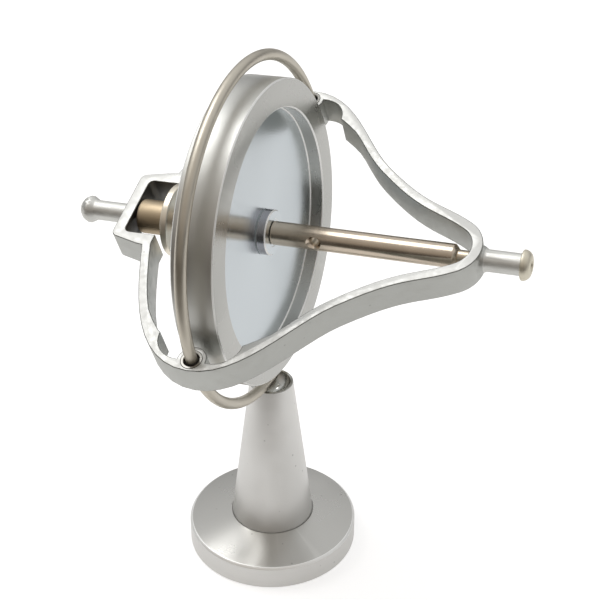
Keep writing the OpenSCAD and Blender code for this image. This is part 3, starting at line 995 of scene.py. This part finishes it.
class GYRO_OT_stage(bpy.types.Operator):
    """Sets the camera, the pale table, the lamp and the surroundings that the metal shows"""
    bl_idname = "gyro.stage"
    bl_label = "Stage"

    def execute(self, context):
        self.camera(context)
        self.table()
        self.surroundings()
        self.lamp()
        return {"FINISHED"}

    def camera(self, context):
        s = sizes("stage_settings")
        forward = Vector(s.forward).normalized()
        level = forward.cross(Vector((0, 0, 1))).normalized()
        down = forward.cross(level)
        right = level * math.cos(s.tilt) + down * math.sin(s.tilt)
        low = down * math.cos(s.tilt) - level * math.sin(s.tilt)
        turn = Matrix((right, -low, -forward)).transposed()
        bpy.ops.object.camera_add()
        camera = context.object
        camera.matrix_world = Matrix.Translation(s.place) @ turn.to_4x4()
        camera.data.lens = s.lens
        camera.data.sensor_width = 36
        camera.data.shift_x, camera.data.shift_y = s.shift
        camera.data.clip_start = 0.01
        context.scene.camera = camera

    def table(self):
        bpy.ops.mesh.primitive_plane_add(size=6, location=(0, 0, 0))
        table = bpy.context.object
        table.name = "table"
        mat = bpy.data.materials.new("table_white")
        mat.use_nodes = True
        tree = mat.node_tree
        shader = tree.nodes["Principled BSDF"]
        shader.inputs["Roughness"].default_value = 0.6
        shader.inputs["Specular IOR Level"].default_value = 0.1
        rays = node(tree, "ShaderNodeLightPath")
        place = node(tree, "ShaderNodeTexCoord").outputs["Object"]
        depth = node(tree, "ShaderNodeSeparateXYZ", Vector=place).outputs["Y"]
        # in the metal's reflections the sheet darkens towards the photographer
        front = node(tree, "ShaderNodeMapRange", _0=depth, _1=-0.2, _2=-0.11, _3=1.0, _4=0.0).outputs[0]
        dark = node(tree, "ShaderNodeMath", {"operation": "MULTIPLY"}, _0=front,
                    _1=rays.outputs["Is Glossy Ray"]).outputs[0]
        paint = node(tree, "ShaderNodeMix", {"data_type": "RGBA"}, _0=dark, _6=linear("#dcdcdc"),
                     _7=linear("#5c574f")).outputs[2]
        tree.links.new(paint, shader.inputs["Base Color"])
        mirrored = node(tree, "ShaderNodeMath", {"operation": "MULTIPLY_ADD"}, _0=dark, _1=-0.3,
                        _2=0.3).outputs[0]
        mirrored = node(tree, "ShaderNodeMath", {"operation": "MULTIPLY"},
                        _0=rays.outputs["Is Glossy Ray"], _1=mirrored).outputs[0]
        strength = node(tree, "ShaderNodeMath", {"operation": "MULTIPLY_ADD"},
                        _0=rays.outputs["Is Camera Ray"], _1=0.55, _2=mirrored).outputs[0]
        glow = node(tree, "ShaderNodeEmission", Color=(1, 1, 1, 1), Strength=strength).outputs[0]
        both = node(tree, "ShaderNodeAddShader", _0=shader.outputs[0], _1=glow).outputs[0]
        tree.links.new(both, tree.nodes["Material Output"].inputs["Surface"])
        table.data.materials.append(mat)

    def surroundings(self):
        world = bpy.data.worlds.new("studio")
        bpy.context.scene.world = world
        world.use_nodes = True
        tree = world.node_tree
        back = tree.nodes["Background"]
        to = node(tree, "ShaderNodeTexCoord").outputs["Generated"]
        split = node(tree, "ShaderNodeSeparateXYZ", Vector=to)
        ramp = node(tree, "ShaderNodeValToRGB", Fac=split.outputs["Z"])
        stops = ((0.0, 0.12), (0.2, 0.36), (0.42, 0.7), (0.65, 0.78), (1.0, 0.85))
        for i, (at, level) in enumerate(stops):
            stop = ramp.color_ramp.elements[i] if i < 2 else ramp.color_ramp.elements.new(at)
            stop.position = at
            stop.color = (level, level, level, 1)
        # the side where the photographer stands is dimmer and warmer
        far = node(tree, "ShaderNodeMapRange", _0=split.outputs["Y"], _1=-0.85, _2=0.15).outputs[0]
        side = node(tree, "ShaderNodeMix", {"data_type": "RGBA"}, _0=far, _6=(0.58, 0.52, 0.46, 1),
                    _7=(1, 1, 1, 1)).outputs[2]
        both = node(tree, "ShaderNodeMix", {"data_type": "RGBA", "blend_type": "MULTIPLY"}, _0=1.0,
                    _6=ramp.outputs["Color"], _7=side).outputs[2]
        # the camera itself sees a white backdrop
        seen = node(tree, "ShaderNodeLightPath").outputs["Is Camera Ray"]
        both = node(tree, "ShaderNodeMix", {"data_type": "RGBA"}, _0=seen, _6=both,
                    _7=(1, 1, 1, 1)).outputs[2]
        tree.links.new(both, back.inputs["Color"])
        back.inputs["Strength"].default_value = 1.0

    def lamp(self):
        s = sizes("stage_settings")
        bpy.ops.object.light_add(type="AREA", location=s.lamp_place)
        lamp = bpy.context.object
        lamp.name = "lamp_top"
        lamp.data.size = s.lamp_size
        lamp.data.energy = s.lamp_power
        aim = Vector((0, 0, 0.06)) - Vector(s.lamp_place)
        lamp.rotation_euler = aim.to_track_quat("-Z", "Y").to_euler()


# ---------------------------------------------------------------- panel and main

OPERATORS = (GYRO_OT_base, GYRO_OT_pedestal, GYRO_OT_frame, GYRO_OT_ring, GYRO_OT_eyelets,
             GYRO_OT_tip_pin, GYRO_OT_rotor, GYRO_OT_hub, GYRO_OT_sleeve, GYRO_OT_spool,
             GYRO_OT_plain_parts, GYRO_OT_stage)
GROUPS = {"stand_sizes": StandSizes, "gyro_sizes": GyroSizes, "rotor_sizes": RotorSizes,
          "metal_colours": MetalColours, "stage_settings": StageSettings}


class GYRO_PT_panel(bpy.types.Panel):
    """Lists the pieces of the gyroscope"""
    bl_label = "Gyroscope"
    bl_idname = "GYRO_PT_panel"
    bl_space_type = "VIEW_3D"
    bl_region_type = "UI"
    bl_category = "Gyroscope"

    def draw(self, context):
        for name in GROUPS:
            group = sizes(name)
            for key in group.bl_rna.properties.keys():
                if key not in ("rna_type", "name"):
                    self.layout.prop(group, key)
        for operator in OPERATORS:
            self.layout.operator(operator.bl_idname)


def register():
    for name, group in GROUPS.items():
        bpy.utils.register_class(group)
        setattr(bpy.types.Scene, name, bpy.props.PointerProperty(type=group))
    for cls in OPERATORS + (GYRO_PT_panel,):
        bpy.utils.register_class(cls)


def unregister():
    for cls in reversed(OPERATORS + (GYRO_PT_panel,)):
        bpy.utils.unregister_class(cls)
    for name, group in GROUPS.items():
        delattr(bpy.types.Scene, name)
        bpy.utils.unregister_class(group)


def main():
    register()
    bpy.context.scene.view_settings.view_transform = "Standard"
    for make in FINISHES:
        make(sizes("metal_colours"))
    for operator in OPERATORS:
        group, name = operator.bl_idname.split(".")
        getattr(getattr(bpy.ops, group), name)()


if __name__ == "__main__":
    main()
